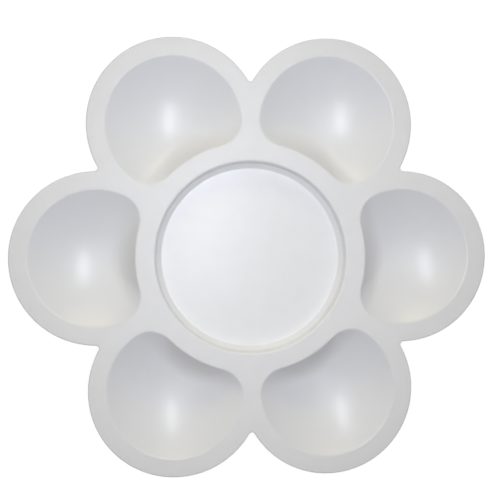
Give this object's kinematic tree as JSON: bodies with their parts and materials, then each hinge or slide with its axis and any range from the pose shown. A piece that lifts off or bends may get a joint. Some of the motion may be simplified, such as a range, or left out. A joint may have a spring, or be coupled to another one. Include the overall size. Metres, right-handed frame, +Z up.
{
  "type": "mixing palette",
  "caption": "Flower-shaped white plastic mixing palette: a shallow round mixing well ringed by bean-shaped paint wells in round petals, with a turned-down rim.",
  "frame": {"origin": "centre of the palette, on the plane of the flats under its paint wells", "axes": "+X through the middle of paint_well_1, +Z up out of the wells"},
  "size_m": [0.18, 0.1644, 0.0111],
  "materials": {
    "deck_plastic": "white, fine satin grain",
    "well_plastic": "white, smooth and semi-gloss"
  },
  "bodies": {
    "root": {"deck": "deck_plastic", "outer_rim": "deck_plastic", "mixing_well": "well_plastic", "paint_well_1": "well_plastic", "paint_well_2": "well_plastic", "paint_well_3": "well_plastic", "paint_well_4": "well_plastic", "paint_well_5": "well_plastic", "paint_well_6": "well_plastic"}
  },
  "joints": []
}
